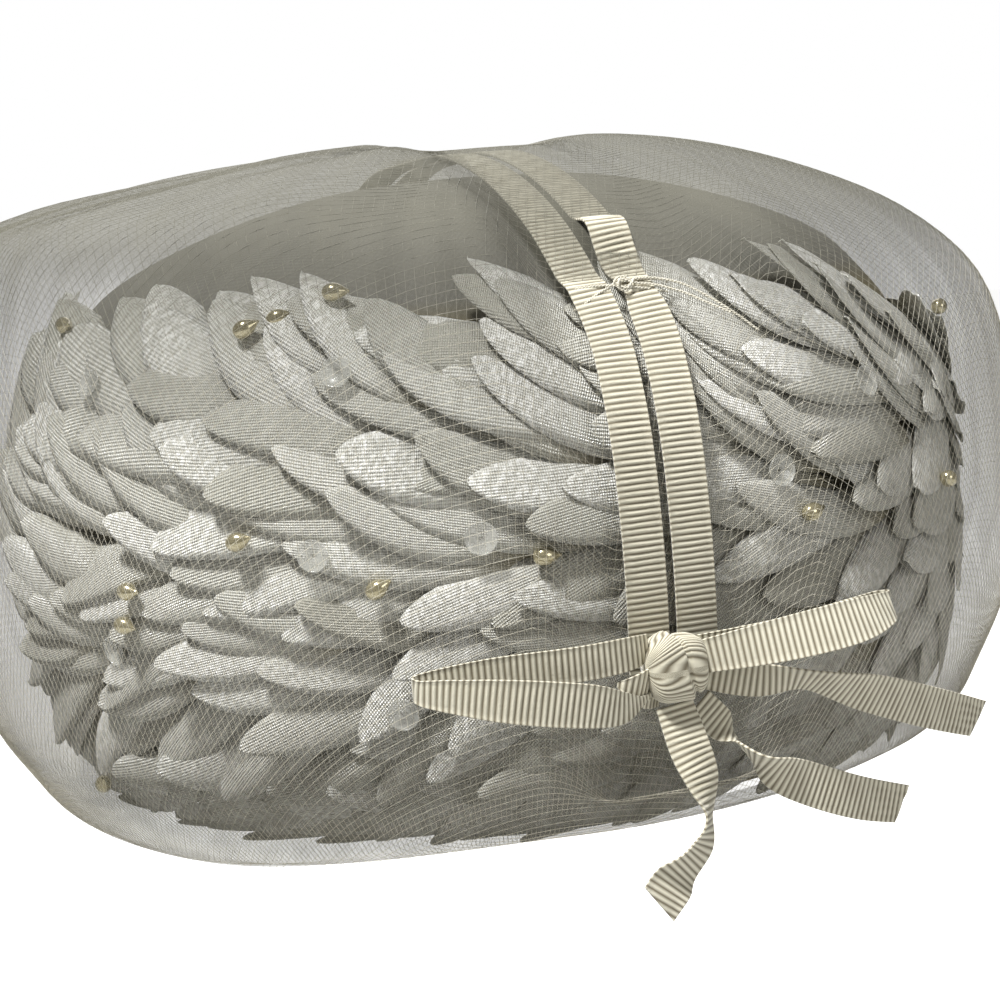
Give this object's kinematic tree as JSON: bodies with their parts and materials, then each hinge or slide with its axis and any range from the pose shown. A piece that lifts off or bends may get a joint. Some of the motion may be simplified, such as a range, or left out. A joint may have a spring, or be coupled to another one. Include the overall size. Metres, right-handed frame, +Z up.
{
  "type": "pillbox hat",
  "caption": "Pillbox hat: a stiff drum covered with overlapping organza leaves, pearls and clear sequins, under a puffed net veil drawn in by two grosgrain ribbons with a bow",
  "frame": {"origin": "centre of the head opening, in the plane of the rim", "axes": "+Z up through the crown; -Y is the front, where the bow sits; +X to the right seen from the front"},
  "size_m": [0.2382, 0.242, 0.1414],
  "materials": {
    "buckram": "stiffened fabric, matt, olive-brown where it shows between the leaves",
    "organza": "ivory organza with a visible weave and a silvery sheen",
    "net": "fine off-white net with a diamond mesh",
    "grosgrain": "cream grosgrain, ribbed across, matt",
    "pearl": "champagne pearl coat, glossy",
    "sequin": "clear, glossy"
  },
  "bodies": {
    "root": {"foundation": "buckram", "veil": "net", "band_left": "grosgrain", "band_right": "grosgrain", "bow_knot": "grosgrain", "bow_loop_left": "grosgrain", "bow_loop_right": "grosgrain", "bow_tail_long": "grosgrain", "bow_tail_low": "grosgrain", "bow_tail_right": "grosgrain", "leaf_spray_01": "organza", "leaf_spray_02": "organza", "leaf_spray_03": "organza", "leaf_spray_04": "organza", "leaf_spray_05": "organza", "leaf_spray_06": "organza", "leaf_spray_07": "organza", "leaf_spray_08": "organza", "leaf_spray_09": "organza", "leaf_spray_10": "organza", "leaf_spray_11": "organza", "leaf_spray_12": "organza", "leaf_spray_13": "organza", "leaf_spray_14": "organza", "pearl_01": "pearl", "pearl_02": "pearl", "pearl_03": "pearl", "pearl_04": "pearl", "pearl_05": "pearl", "pearl_06": "pearl", "pearl_07": "pearl", "pearl_08": "pearl", "pearl_09": "pearl", "pearl_10": "pearl", "pearl_11": "pearl", "pearl_12": "pearl", "pearl_13": "pearl", "pearl_14": "pearl", "pearl_15": "pearl", "pearl_16": "pearl", "sequin_01": "sequin", "sequin_02": "sequin", "sequin_03": "sequin", "sequin_04": "sequin", "sequin_05": "sequin", "sequin_06": "sequin", "sequin_07": "sequin", "sequin_08": "sequin", "sequin_09": "sequin", "sequin_10": "sequin", "sequin_11": "sequin", "sequin_12": "sequin"}
  },
  "joints": []
}
